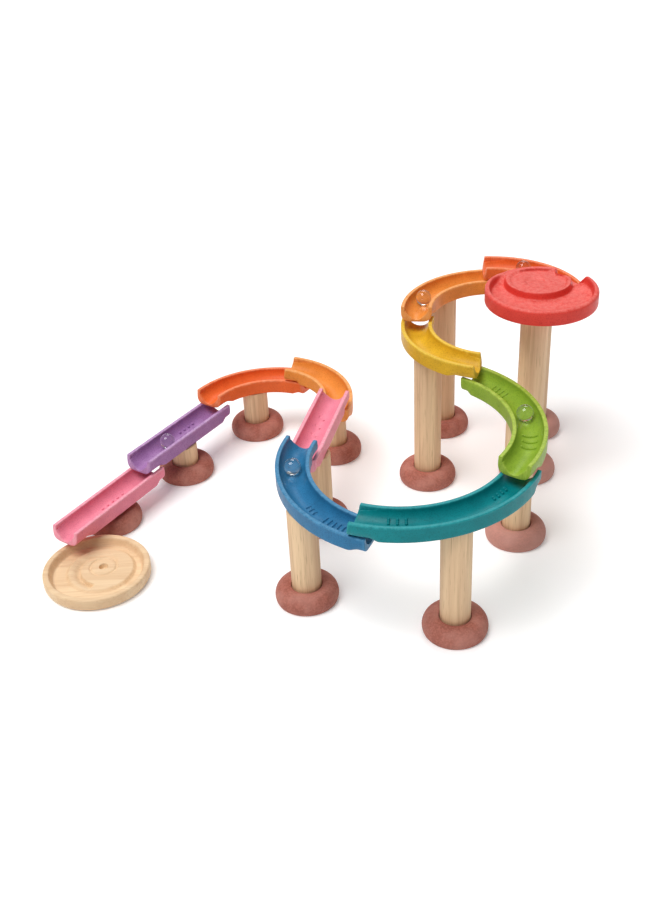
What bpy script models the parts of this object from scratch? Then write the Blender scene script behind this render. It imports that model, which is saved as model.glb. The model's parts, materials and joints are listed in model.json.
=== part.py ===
"""Wooden marble run: a start disc, eleven channel tracks on posts, and a finish dish.

Metres, +Z up. The floor is z = 0 and the origin is under the middle of the whole run.
Each track lies on one dowel post, and each post stands in a ring foot.
"""
import math

import bmesh
import bpy
from mathutils import Vector

MM = 0.001
GAP = 0.3 * MM                 # air between two pieces that touch

# heights: every track is one step lower than the one before it
STEP = 16.0 * MM
LAST_WALL_TOP = 37.0 * MM      # wall top of track 12, above the floor
LAST_TRACK = 12

# track section
HALF_WIDTH = 16.0 * MM
BODY_DEPTH = 15.7 * MM         # one step less the gap, so a nose clears the next walls
CHANNEL_RADIUS = 12.1 * MM
WALL_ROUND = 0.8 * MM
ROUND_END = 6.0 * MM           # rounded stretch at the incoming end
NOSE = 15.0 * MM               # rounded stretch at the outgoing end
RAMP = 9.0 * MM                # from rounded to square underside
END_SQUARENESS = 4.0           # 2 would be a half-round underside, more is squarer
SPOUT_DROP = 1.5 * MM          # how far the channel floor falls at the nose
SPOUT_REACH = 2.5 * MM         # how far the nose's floor stands out past its wall tops
OUTER_SIDES = 8
CHANNEL_SIDES = 6

# curves and straights
SMALL_RADIUS = 80.0 * MM
SMALL_SPAN = 90.0
LARGE_RADIUS = 117.0 * MM
LARGE_SPAN = 88.0
STRAIGHT_LENGTH = 134.0 * MM
ARC_STEP = 9.0                 # degrees between two sections of a curve

# posts, feet and marbles
POST_RADIUS = 14.0 * MM
POST_CHAMFER = 0.6 * MM
FOOT_RADIUS = 30.0 * MM
FOOT_CREST_RADIUS = 19.5 * MM  # the ring's highest line
FOOT_BULGE_HEIGHT = 5.5 * MM   # widest level of the rounded ring
FOOT_SEMI_HEIGHT = 11.5 * MM
FOOT_FLOOR = 4.0 * MM          # wood left under the post
SOCKET_RADIUS = 14.5 * MM
SOCKET_CHAMFER = 1.2 * MM
FOOT_LEVELS = 5
ROUND_SEGMENTS = 20
MARBLE_RADIUS = 8.0 * MM
MARBLE_GAP = 0.5 * MM

# start disc and finish dish
DISC_CENTRE = (222.25, 67.0)
DISC_RADIUS = 55.5 * MM
DISC_THICKNESS = 15.0 * MM
DISC_CLEARANCE = 3.5 * MM      # above the walls of track 2
DISC_RIM = 4.0 * MM
PLATEAU_DROP = 2.3 * MM        # raised middle, below the rim
PLATEAU_RADIUS = 33.0 * MM
PLATEAU_SHIFT = (1.0 * MM, 23.0 * MM)
LANE_DEPTH = 6.5 * MM          # marble lane, below the raised middle
LANE_START = (112.0, 160.0)    # degrees, where the rim grows out of the raised middle
OUTLET = (26.0, 60.0)          # degrees, where the rim is open
OUTLET_CUT = 7.5 * MM
DISC_SEGMENTS = 48

DISH_CENTRE = (-225.75, -79.0)
DISH_RADIUS = 52.0 * MM
DISH_HEIGHT = 13.0 * MM
DISH_BASE_RADIUS = 48.0 * MM
DISH_RIM = 5.0 * MM
DISH_FLOOR = 6.5 * MM
DISH_HOLE = (5.5 * MM, 5.5 * MM)
DISH_HOLE_RADIUS = 2.6 * MM
DISH_HOLE_FLOOR = 3.0 * MM
DISH_SEGMENTS = 40

# number, name, kind, centre of the curve or middle of the straight (mm),
# turn (+1 left, -1 right) and the angle of the nose round that centre, or the heading
TRACKS = [
    (2, "vermilion_curve", "small", (177.75, 94.5), 1, 86.5),
    (3, "orange_curve", "small", (181.75, 96.0), 1, 171.5),
    (4, "yellow_curve", "small", (181.75, 94.0), 1, 249.3),
    (5, "green_curve", "large", (72.75, -65.0), -1, -37.5),
    (6, "teal_curve", "large", (71.75, -70.5), -1, -114.0),
    (7, "blue_curve", "large", (87.75, -75.5), -1, -203.2),
    (8, "pink_straight", "straight", (-4.05, 22.5), 0, 74.0),
    (9, "orange_curve", "small", (-62.25, 103.5), 1, 69.0),
    (10, "vermilion_curve", "small", (-57.75, 104.5), 1, 146.5),
    (11, "purple_straight", "straight", (-154.45, 102.0), 0, 234.2),
    (12, "pink_straight", "straight", (-219.85, 6.6), 0, 235.6),
]
# where the posts stand (mm), in the order of the run
POSTS = [
    (216.75, 64.5), (238.75, 150.0), (136.75, 165.5), (110.05, 63.5), (186.75, -47.0), (110.75, -179.6),
    (-21.75, -124.5), (-7.25, -8.0), (11.75, 122.5), (-75.75, 179.6), (-152.05, 97.8), (-221.95, 11.7),
]
# marble number, its track, and its place along the track from the incoming end (0 to 1)
MARBLES = [(1, 2, 0.675), (2, 3, 0.755), (3, 5, 0.50), (4, 7, 0.75), (5, 11, 0.66)]

COLOURS = {
    "disc": (0.72, 0.05, 0.05), "vermilion": (0.80, 0.14, 0.04), "orange": (0.80, 0.25, 0.04),
    "yellow": (0.70, 0.42, 0.03), "green": (0.28, 0.42, 0.04), "teal": (0.0, 0.24, 0.27),
    "blue": (0.03, 0.17, 0.38), "pink": (0.80, 0.16, 0.24), "purple": (0.20, 0.08, 0.26),
    "beech": (0.68, 0.47, 0.28), "foot": (0.38, 0.16, 0.12), "marble": (0.85, 0.9, 0.9),
}


def clear_scene():
    for obj in list(bpy.data.objects):
        bpy.data.objects.remove(obj, do_unlink=True)


def material(name, roughness=0.6):
    found = bpy.data.materials.get(name)
    if found:
        return found
    new = bpy.data.materials.new(name)
    new.use_nodes = True
    shader = new.node_tree.nodes["Principled BSDF"]
    shader.inputs["Base Color"].default_value = (*COLOURS[name], 1.0)
    shader.inputs["Roughness"].default_value = roughness
    shader.inputs["Metallic"].default_value = 0.0
    return new


def add_object(name, bm, origin, finish, roughness=0.6):
    """Makes the object with its origin at a given point, and its mesh moved to match."""
    bmesh.ops.translate(bm, verts=bm.verts, vec=-Vector(origin))
    bmesh.ops.recalc_face_normals(bm, faces=bm.faces)
    mesh = bpy.data.meshes.new(name)
    bm.to_mesh(mesh)
    bm.free()
    mesh.shade_smooth()
    mesh.set_sharp_from_angle(angle=math.radians(35.0))
    mesh.materials.append(material(finish, roughness))
    obj = bpy.data.objects.new(name, mesh)
    obj.location = origin
    bpy.context.scene.collection.objects.link(obj)
    return obj


def skin_rings(bm, rings):
    """Joins closed rings of equally many vertices with quads."""
    for low, high in zip(rings, rings[1:]):
        count = len(low)
        for i in range(count):
            j = (i + 1) % count
            bm.faces.new((low[i], low[j], high[j], high[i]))


def turned(bm, profile, segments, centre):
    """Turns (radius, z) points, from the top of the axis to its bottom, round a vertical axis."""
    x0, y0 = centre
    rings = []
    for radius, z in profile:
        ring = []
        for i in range(segments):
            angle = 2.0 * math.pi * i / segments
            ring.append(bm.verts.new((x0 + radius * math.cos(angle), y0 + radius * math.sin(angle), z)))
        rings.append(ring)
    skin_rings(bm, rings)
    bm.faces.new(rings[0])
    bm.faces.new(list(reversed(rings[-1])))


def wall_top(number):
    return LAST_WALL_TOP + STEP * (LAST_TRACK - number)


# ---- tracks ----

def smooth(t):
    t = min(max(t, 0.0), 1.0)
    return t * t * (3.0 - 2.0 * t)


def squareness(s, length):
    """0 where the underside is rounded, 1 where it is square."""
    rise = (s - ROUND_END) / RAMP
    fall = (length - NOSE - s) / RAMP
    return smooth(min(rise, fall))


def section(s, length):
    """Points (across, below the wall top) of one closed track section."""
    square = squareness(s, length)
    points = [(HALF_WIDTH - WALL_ROUND, 0.0)]
    for i in range(OUTER_SIDES + 1):
        angle = math.pi * i / OUTER_SIDES
        c, d = math.cos(angle), math.sin(angle)
        soft = (abs(c) ** END_SQUARENESS + abs(d) ** END_SQUARENESS) ** (-1.0 / END_SQUARENESS)
        reach = soft + square * (1.0 / max(abs(c), abs(d)) - soft)
        depth = WALL_ROUND + (BODY_DEPTH - WALL_ROUND) * d * reach
        points.append((HALF_WIDTH * c * reach, -depth))
    points.append((-(HALF_WIDTH - WALL_ROUND), 0.0))
    fall = SPOUT_DROP * smooth((s - length + NOSE) / NOSE) ** 2
    for i in range(CHANNEL_SIDES + 1):
        angle = math.pi * i / CHANNEL_SIDES
        points.append((-CHANNEL_RADIUS * math.cos(angle), -(CHANNEL_RADIUS + fall) * math.sin(angle)))
    return points


def stations(length, bend_step):
    """Distances along the track at which a section is placed."""
    start = [0.0, ROUND_END, ROUND_END + 0.5 * RAMP, ROUND_END + RAMP]
    tail = NOSE + RAMP
    end = [length - tail, length - tail + 0.5 * RAMP, length - NOSE]
    end += [length - 0.5 * NOSE, length - 0.22 * NOSE, length]
    count = max(1, round((end[0] - start[-1]) / bend_step))
    middle = [start[-1] + (end[0] - start[-1]) * i / count for i in range(1, count)]
    return start + middle + end


def track_path(kind, centre, turn, angle):
    """Returns the length, and a function from the distance to (x, y, heading)."""
    cx, cy = centre[0] * MM, centre[1] * MM
    if kind == "straight":
        heading = math.radians(angle)

        def straight(s):
            along = s - 0.5 * STRAIGHT_LENGTH
            return cx + along * math.cos(heading), cy + along * math.sin(heading), heading
        return STRAIGHT_LENGTH, straight
    radius, span = (SMALL_RADIUS, SMALL_SPAN) if kind == "small" else (LARGE_RADIUS, LARGE_SPAN)
    length = radius * math.radians(span)

    def curve(s):
        place = math.radians(angle) - turn * (length - s) / radius
        heading = place + turn * 0.5 * math.pi
        return cx + radius * math.cos(place), cy + radius * math.sin(place), heading
    return length, curve


def track(number, label, kind, centre, turn, angle):
    length, path = track_path(kind, centre, turn, angle)
    radius = SMALL_RADIUS if kind == "small" else LARGE_RADIUS
    bend_step = length if kind == "straight" else radius * math.radians(ARC_STEP)
    top = wall_top(number)
    bm = bmesh.new()
    rings = []
    for s in stations(length, bend_step):
        x, y, heading = path(s)
        ahead = Vector((math.cos(heading), math.sin(heading), 0.0))
        left = Vector((-ahead.y, ahead.x, 0.0))
        lean = SPOUT_REACH * smooth((s - length + NOSE) / NOSE) / BODY_DEPTH
        ring = []
        for across, drop in section(s, length):
            ring.append(bm.verts.new(Vector((x, y, top + drop)) + across * left - drop * lean * ahead))
        rings.append(ring)
    skin_rings(bm, rings)
    bm.faces.new(list(reversed(rings[0])))
    bm.faces.new(rings[-1])
    post = POSTS[number - 1]
    name = "track_%02d_%s" % (number, label)
    add_object(name, bm, (post[0] * MM, post[1] * MM, top - BODY_DEPTH), label.split("_")[0])


# ---- posts, feet and marbles ----

def post_and_foot(number, centre, top):
    place = (centre[0] * MM, centre[1] * MM)
    bottom = FOOT_FLOOR + GAP
    bm = bmesh.new()
    turned(bm, [(POST_RADIUS - POST_CHAMFER, top), (POST_RADIUS, top - POST_CHAMFER),
                (POST_RADIUS, bottom)], ROUND_SEGMENTS, place)
    add_object("post_%02d" % number, bm, (*place, bottom), "beech")

    rim = SOCKET_RADIUS + SOCKET_CHAMFER
    rim_height = foot_height(rim)
    profile = [(SOCKET_RADIUS, FOOT_FLOOR), (SOCKET_RADIUS, rim_height - SOCKET_CHAMFER), (rim, rim_height)]
    for i in range(1, FOOT_LEVELS + 1):
        angle = 0.5 * math.pi * i / FOOT_LEVELS
        radius = rim + (FOOT_RADIUS - rim) * math.sin(angle)
        profile.append((radius, foot_height(radius)))
    foot_round = FOOT_RADIUS - FOOT_CREST_RADIUS
    base = FOOT_CREST_RADIUS + foot_round * math.sqrt(1.0 - (FOOT_BULGE_HEIGHT / FOOT_SEMI_HEIGHT) ** 2)
    profile.append((base, 0.0))
    bm = bmesh.new()
    turned(bm, profile, ROUND_SEGMENTS, place)
    add_object("foot_%02d" % number, bm, (*place, 0.0), "foot", 0.75)


def foot_height(radius):
    """Height of the ring foot's upper face at a radius."""
    share = (radius - FOOT_CREST_RADIUS) / (FOOT_RADIUS - FOOT_CREST_RADIUS)
    return FOOT_BULGE_HEIGHT + FOOT_SEMI_HEIGHT * math.sqrt(max(0.0, 1.0 - share ** 2))


def marble(number, track_number, share):
    entry = next(t for t in TRACKS if t[0] == track_number)
    length, path = track_path(*entry[2:])
    x, y, _ = path(share * length)
    z = wall_top(track_number) - CHANNEL_RADIUS + MARBLE_RADIUS + MARBLE_GAP
    bm = bmesh.new()
    bmesh.ops.create_uvsphere(bm, u_segments=14, v_segments=9, radius=MARBLE_RADIUS)
    bmesh.ops.translate(bm, verts=bm.verts, vec=(x, y, z))
    add_object("marble_%d" % number, bm, (x, y, z), "marble", 0.05)


# ---- start disc and finish dish ----

def shaped_round(bm, segments, columns):
    """Builds a round body from columns of points, one column for each angle.

    A column runs from next to the middle of the upper face to next to the middle of the lower face.
    """
    rings = []
    for level in range(len(columns[0])):
        rings.append([bm.verts.new(columns[i][level]) for i in range(segments)])
    skin_rings(bm, rings)
    for ring in (rings[0], list(reversed(rings[-1]))):
        middle = bm.verts.new(sum((v.co for v in ring), Vector()) / segments)
        for i in range(segments):
            bm.faces.new((ring[i], ring[(i + 1) % segments], middle))


def reach_to_circle(angle, shift, radius):
    """Distance from the origin, along an angle, to a circle whose centre is shifted."""
    along = shift[0] * math.cos(angle) + shift[1] * math.sin(angle)
    off = shift[0] * math.sin(angle) - shift[1] * math.cos(angle)
    return along + math.sqrt(radius ** 2 - off ** 2)


def outlet_openness(degrees):
    """1 inside the outlet, 0 where the rim is whole, with a short slope at each side."""
    edge = 5.0
    return smooth(min(degrees - OUTLET[0] + edge, OUTLET[1] + edge - degrees) / edge)


def rim_growth(degrees):
    """0 at the back, where the raised middle meets the edge, 1 where the rim is full."""
    if degrees < OUTLET[0]:
        return 1.0
    return smooth((degrees - LANE_START[0]) / (LANE_START[1] - LANE_START[0]))


def disc_profile(degrees, bottom):
    """(radius, z) points of the disc along one direction, from the middle of its top."""
    angle = math.radians(degrees)
    top = bottom + DISC_THICKNESS
    plateau = top - PLATEAU_DROP
    opened = outlet_openness(degrees)
    outer = DISC_RADIUS - OUTLET_CUT * opened
    edge = min(reach_to_circle(angle, PLATEAU_SHIFT, PLATEAU_RADIUS), outer - 5.2 * MM)
    foot = edge + 1.2 * MM
    lane_end = max(foot + 0.6 * MM, outer - DISC_RIM - 3.0 * MM)
    rim_start = max(lane_end + 0.6 * MM, outer - DISC_RIM)
    floor = plateau - LANE_DEPTH * max(opened, smooth((lane_end - foot) / (9.0 * MM)))
    closed_rim = plateau + PLATEAU_DROP * rim_growth(degrees)
    rim = closed_rim + (floor - closed_rim) * opened
    lane_rise = 0.25 * (rim - floor)
    return [(0.5 * edge, plateau), (edge, plateau), (foot, floor), (lane_end, floor + lane_rise),
            (rim_start, rim), (outer - 2.2 * MM, rim), (outer - 0.6 * MM, rim - 0.7 * MM),
            (outer, rim - 2.2 * MM), (outer, bottom + 0.8 * MM), (outer - 0.8 * MM, bottom),
            (0.5 * DISC_RADIUS, bottom)]


def start_disc():
    cx, cy = DISC_CENTRE[0] * MM, DISC_CENTRE[1] * MM
    bottom = wall_top(2) + DISC_CLEARANCE
    columns = []
    for i in range(DISC_SEGMENTS):
        degrees = 360.0 * i / DISC_SEGMENTS
        c, d = math.cos(math.radians(degrees)), math.sin(math.radians(degrees))
        columns.append([Vector((cx + r * c, cy + r * d, z)) for r, z in disc_profile(degrees, bottom)])
    bm = bmesh.new()
    shaped_round(bm, DISC_SEGMENTS, columns)
    post = POSTS[0]
    add_object("start_disc", bm, (post[0] * MM, post[1] * MM, bottom), "disc")


def finish_dish():
    cx, cy = DISH_CENTRE[0] * MM, DISH_CENTRE[1] * MM
    hx, hy = DISH_HOLE
    columns = []
    for i in range(DISH_SEGMENTS):
        angle = 2.0 * math.pi * i / DISH_SEGMENTS
        c, d = math.cos(angle), math.sin(angle)
        upper = [(DISH_HOLE_RADIUS, DISH_HOLE_FLOOR), (DISH_HOLE_RADIUS, DISH_FLOOR)]
        points = [Vector((cx + hx + r * c, cy + hy + r * d, z)) for r, z in upper]
        outer = [(0.45 * DISH_RADIUS, DISH_FLOOR), (DISH_RADIUS - DISH_RIM - 6.0 * MM, DISH_FLOOR + 0.5 * MM),
                 (DISH_RADIUS - DISH_RIM - 1.5 * MM, DISH_HEIGHT - 3.0 * MM), (DISH_RADIUS - DISH_RIM, DISH_HEIGHT),
                 (DISH_RADIUS - 1.5 * MM, DISH_HEIGHT), (DISH_RADIUS, DISH_HEIGHT - 1.5 * MM),
                 (DISH_RADIUS, 4.0 * MM), (DISH_BASE_RADIUS, 0.0), (0.5 * DISH_BASE_RADIUS, 0.0)]
        points += [Vector((cx + r * c, cy + r * d, z)) for r, z in outer]
        columns.append(points)
    bm = bmesh.new()
    shaped_round(bm, DISH_SEGMENTS, columns)
    add_object("finish_dish", bm, (cx, cy, 0.0), "beech")


def main():
    clear_scene()
    start_disc()
    for entry in TRACKS:
        track(*entry)
    for number, centre in enumerate(POSTS, start=1):
        under = wall_top(2) + DISC_CLEARANCE if number == 1 else wall_top(number) - BODY_DEPTH
        post_and_foot(number, centre, under - GAP)
    for entry in MARBLES:
        marble(*entry)
    finish_dish()


main()
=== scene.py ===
# %% [markdown]
# # A wooden marble run
#
# The toy is a set of loose wooden pieces. Dowel posts stand in round feet, and each post carries one
# channel track. The tracks step down from a red start disc to a pale finish dish, and glass marbles roll
# along them. This script builds what the eye sees of each piece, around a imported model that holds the
# real sizes and joints.
#
# The first cell loads that model. Its nodes give the place of every piece, and its bodies say what moves.

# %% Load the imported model
import json
import math

import bmesh
import bpy
import numpy as np
from mathutils import Matrix, Vector

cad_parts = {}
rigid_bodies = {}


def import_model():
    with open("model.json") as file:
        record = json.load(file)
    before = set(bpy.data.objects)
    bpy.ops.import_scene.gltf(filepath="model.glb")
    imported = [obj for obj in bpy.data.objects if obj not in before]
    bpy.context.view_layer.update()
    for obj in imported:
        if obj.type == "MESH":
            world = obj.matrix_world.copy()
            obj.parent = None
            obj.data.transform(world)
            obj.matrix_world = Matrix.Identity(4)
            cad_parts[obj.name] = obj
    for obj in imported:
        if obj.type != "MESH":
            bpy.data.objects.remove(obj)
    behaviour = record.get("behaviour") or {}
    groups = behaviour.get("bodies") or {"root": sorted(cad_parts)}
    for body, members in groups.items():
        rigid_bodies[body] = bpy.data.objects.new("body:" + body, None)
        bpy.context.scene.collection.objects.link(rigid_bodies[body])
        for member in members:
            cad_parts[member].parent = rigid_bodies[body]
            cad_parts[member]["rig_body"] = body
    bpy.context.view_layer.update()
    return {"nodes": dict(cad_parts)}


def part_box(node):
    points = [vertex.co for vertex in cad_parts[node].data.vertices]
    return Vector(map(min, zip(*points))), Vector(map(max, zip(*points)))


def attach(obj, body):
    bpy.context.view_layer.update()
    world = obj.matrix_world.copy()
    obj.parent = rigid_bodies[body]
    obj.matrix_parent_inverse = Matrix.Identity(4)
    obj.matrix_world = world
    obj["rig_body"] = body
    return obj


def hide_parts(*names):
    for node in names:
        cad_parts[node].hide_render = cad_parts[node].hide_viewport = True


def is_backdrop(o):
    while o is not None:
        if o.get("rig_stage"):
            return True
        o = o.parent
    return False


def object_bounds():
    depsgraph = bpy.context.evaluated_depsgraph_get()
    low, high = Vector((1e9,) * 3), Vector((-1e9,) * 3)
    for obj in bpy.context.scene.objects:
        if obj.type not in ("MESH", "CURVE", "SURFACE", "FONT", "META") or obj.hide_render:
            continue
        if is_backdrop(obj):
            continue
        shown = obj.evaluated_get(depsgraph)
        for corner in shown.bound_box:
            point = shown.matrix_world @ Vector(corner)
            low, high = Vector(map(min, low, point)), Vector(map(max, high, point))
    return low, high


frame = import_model()
MM = 0.001
scene = bpy.context.scene

# %% [markdown]
# ## Helpers
#
# A node tree is easier to read as a list of steps than as a picture of wires. One function adds any node,
# sets its properties, and links or fills its inputs. It serves shader trees and geometry trees alike. A node
# given as an input stands for its first output, so only the others are named.
# Colours are written the way a paint chart gives them, as sRGB hex, and one function turns them linear.

# %% Node and colour helpers
def connect(tree, node, inputs):
    """Fills a node's inputs, by order or by name. A value may be a number, an output, or a node with one."""
    for key, value in inputs.items() if isinstance(inputs, dict) else enumerate(inputs):
        if isinstance(value, bpy.types.Node):
            value = value.outputs[0]
        if isinstance(value, bpy.types.NodeSocket):
            tree.links.new(value, node.inputs[key])
        else:
            node.inputs[key].default_value = value


def add(tree, kind, inputs=(), **settings):
    """Adds a node with its settings and inputs."""
    node = tree.nodes.new(kind)
    for name, value in settings.items():
        setattr(node, name, value)
    connect(tree, node, inputs)
    return node


def linear(hex_colour):
    """Turns an sRGB colour such as '#c8a070' into linear RGBA."""
    shares = [int(hex_colour[i:i + 2], 16) / 255 for i in (1, 3, 5)]
    return [s / 12.92 if s <= 0.04045 else ((s + 0.055) / 1.055) ** 2.4 for s in shares] + [1.0]


def new_material(name):
    """Returns an empty material's tree with its shader, and the material."""
    made = bpy.data.materials.new(name)
    made.use_nodes = True
    return made, made.node_tree, made.node_tree.nodes["Principled BSDF"]


def per_mm(size):
    """A texture's scale for features of a size in millimetres, on coordinates in metres."""
    return 1.0 / (size * MM)


print("a 1 mm pattern has scale", per_mm(1.0))

# %% [markdown]
# ## Dyed pressed wood
#
# Tracks and disc are pressed from rubberwood dust, dyed right through, machined and sealed. The eye sees
# one even colour, finely speckled by darker grains about a millimetre across, with cloudy patches a
# centimetre wide where the dye took less. Handling has rubbed the wall tops paler. The disc's upward faces
# are drawn paler as well, a painted sheen for the light that falls on its top. The sealer leaves a satin
# shine that breaks up over the grain.

# %% Dyed pressed wood
GRAIN = 1.1        # mm, dust grains, drawn a little coarse so that they show
CLOUD = 13.0       # mm, patches of uneven dye


def dyed_wood(name, body, deep, with_wear_and_sheen):
    """Dyed, sealed pressed wood. A stored attribute mixes in a paler colour: 1 on the tracks' edges that
    handling makes pale, and on the disc's upward faces a painted sheen.
    """
    made, tree, shader = new_material(name)
    place = add(tree, "ShaderNodeTexCoord").outputs["Object"]
    cloud = add(tree, "ShaderNodeTexNoise", {"Vector": place, "Scale": per_mm(CLOUD), "Detail": 3.0})
    grain = add(tree, "ShaderNodeTexNoise", {"Vector": place, "Scale": per_mm(GRAIN), "Detail": 2.0})
    fibre_place = add(tree, "ShaderNodeMapping", {"Vector": place, "Scale": (1.0, 1.0, 0.35)})
    fibre = add(tree, "ShaderNodeTexNoise",
                {"Vector": fibre_place, "Scale": per_mm(3.2), "Detail": 4.0, "Roughness": 0.7})
    patches = add(tree, "ShaderNodeMapRange",
                  {"Value": cloud, "From Min": 0.35, "From Max": 0.7, "To Max": 0.3})
    base = add(tree, "ShaderNodeMix", {0: patches, 6: linear(body), 7: linear(deep)},
               data_type="RGBA")
    specks = add(tree, "ShaderNodeMapRange",
                 {"Value": grain, "From Min": 0.5, "From Max": 0.7, "To Max": 0.55})
    speckled = add(tree, "ShaderNodeMix", {0: specks, 6: base.outputs[2], 7: linear(deep)},
                   data_type="RGBA")
    # This attribute marks edges that handling has made pale on the tracks, and gives the disc's top a
    # painted sheen.
    wear = add(tree, "ShaderNodeAttribute", attribute_name="wear")
    uneven_paling = add(tree, "ShaderNodeMapRange",
              {"Value": fibre, "From Min": 0.3, "From Max": 0.65, "To Max": 0.75})
    wear_and_sheen_amount = add(tree, "ShaderNodeMath", {0: wear.outputs["Fac"], 1: uneven_paling}, operation="MULTIPLY")
    colour = add(tree, "ShaderNodeMix", {0: wear_and_sheen_amount, 6: speckled.outputs[2], 7: linear(with_wear_and_sheen)},
                 data_type="RGBA")
    connect(tree, shader, {"Base Color": colour.outputs[2]})
    gloss = add(tree, "ShaderNodeMapRange",
                {"Value": fibre, "From Min": 0.3, "From Max": 0.7, "To Min": 0.3, "To Max": 0.5})
    connect(tree, shader, {"Roughness": gloss})
    relief = add(tree, "ShaderNodeMath", {0: grain, 1: fibre}, operation="ADD")
    bump = add(tree, "ShaderNodeBump", {"Height": relief, "Strength": 0.25, "Distance": 0.12 * MM})
    connect(tree, shader, {"Normal": bump})
    shader.inputs["IOR"].default_value = 1.46
    shader.inputs["Specular IOR Level"].default_value = 0.22
    return made


DYES = {
    "disc": dyed_wood("dyed_wood_red", "#e4463b", "#bd2822", "#f79a90"),
    "vermilion": dyed_wood("dyed_wood_vermilion", "#ef6d30", "#ca501c", "#f7a078"),
    "orange": dyed_wood("dyed_wood_orange", "#ee9440", "#c36c1f", "#f7ba7c"),
    "yellow": dyed_wood("dyed_wood_yellow", "#e4b52a", "#ad7d16", "#f0cf52"),
    "green": dyed_wood("dyed_wood_green", "#91b034", "#5f8026", "#bbce5c"),
    "teal": dyed_wood("dyed_wood_teal", "#02868c", "#026067", "#35a3a8"),
    "blue": dyed_wood("dyed_wood_blue", "#2b76a4", "#205273", "#5c99bf"),
    "pink": dyed_wood("dyed_wood_pink", "#f08ca0", "#cc6680", "#f9b9c5"),
    "purple": dyed_wood("dyed_wood_purple", "#a97ab0", "#7a4b84", "#d0aed4"),
}
print(len(DYES), "dyed woods")

# %% [markdown]
# ## Bare wood
#
# The posts are rubberwood dowels, sanded and left bare: pale straw with fine straight pores that run along
# the dowel, and broad soft bands where the growth rings were cut. The dish is turned from the same wood.
# Stretched noise gives pores and bands. One mapping squeezes the pattern along the grain.

# %% Rubberwood
def rubberwood(name, along, pale, warm, pore):
    """Bare rubberwood whose grain runs along 'x' or 'z'."""
    made, tree, shader = new_material(name)
    place = add(tree, "ShaderNodeTexCoord").outputs["Object"]
    squeeze = (1.0, 1.0, 0.03) if along == "z" else (0.03, 1.0, 1.0)
    drawn = add(tree, "ShaderNodeMapping", {"Vector": place, "Scale": squeeze})
    bands = add(tree, "ShaderNodeTexNoise",
                {"Vector": drawn, "Scale": per_mm(9.0), "Detail": 3.0, "Distortion": 0.6})
    lines = add(tree, "ShaderNodeTexNoise", {"Vector": drawn, "Scale": per_mm(1.6), "Detail": 3.0})
    pores = add(tree, "ShaderNodeTexNoise", {"Vector": drawn, "Scale": per_mm(0.7), "Detail": 1.0})
    tone = add(tree, "ShaderNodeMapRange", {"Value": bands, "From Min": 0.36, "From Max": 0.62})
    base = add(tree, "ShaderNodeMix", {0: tone, 6: linear(pale), 7: linear(warm)}, data_type="RGBA")
    fine = add(tree, "ShaderNodeMapRange",
               {"Value": lines, "From Min": 0.5, "From Max": 0.75, "To Max": 0.4})
    lined = add(tree, "ShaderNodeMix", {0: fine, 6: base.outputs[2], 7: linear(pore)},
                data_type="RGBA")
    specks = add(tree, "ShaderNodeMapRange",
                 {"Value": pores, "From Min": 0.66, "From Max": 0.74, "To Max": 0.6})
    colour = add(tree, "ShaderNodeMix", {0: specks, 6: lined.outputs[2], 7: linear(pore)},
                 data_type="RGBA")
    connect(tree, shader, {"Base Color": colour.outputs[2]})
    gloss = add(tree, "ShaderNodeMapRange", {"Value": lines, "To Min": 0.5, "To Max": 0.7})
    connect(tree, shader, {"Roughness": gloss})
    bump = add(tree, "ShaderNodeBump", {"Height": lines, "Strength": 0.3, "Distance": 0.08 * MM})
    connect(tree, shader, {"Normal": bump})
    shader.inputs["IOR"].default_value = 1.5
    return made


POST_WOOD = rubberwood("rubberwood_dowel", "z", "#ebcaa0", "#d6b08a", "#a9835e")
DISH_WOOD = rubberwood("rubberwood_turned", "x", "#ebcca4", "#e0bd94", "#c9a077")

# %% [markdown]
# ## Foot composite
#
# The feet are pressed from undyed bark and wood dust. They are matt and brick brown, and coarser than the
# tracks: grains of a millimetre or two stand out lighter and darker, and the skin is slightly pitted.
# Batches differ, so each foot also carries a number that says how much paler it is.

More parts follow.
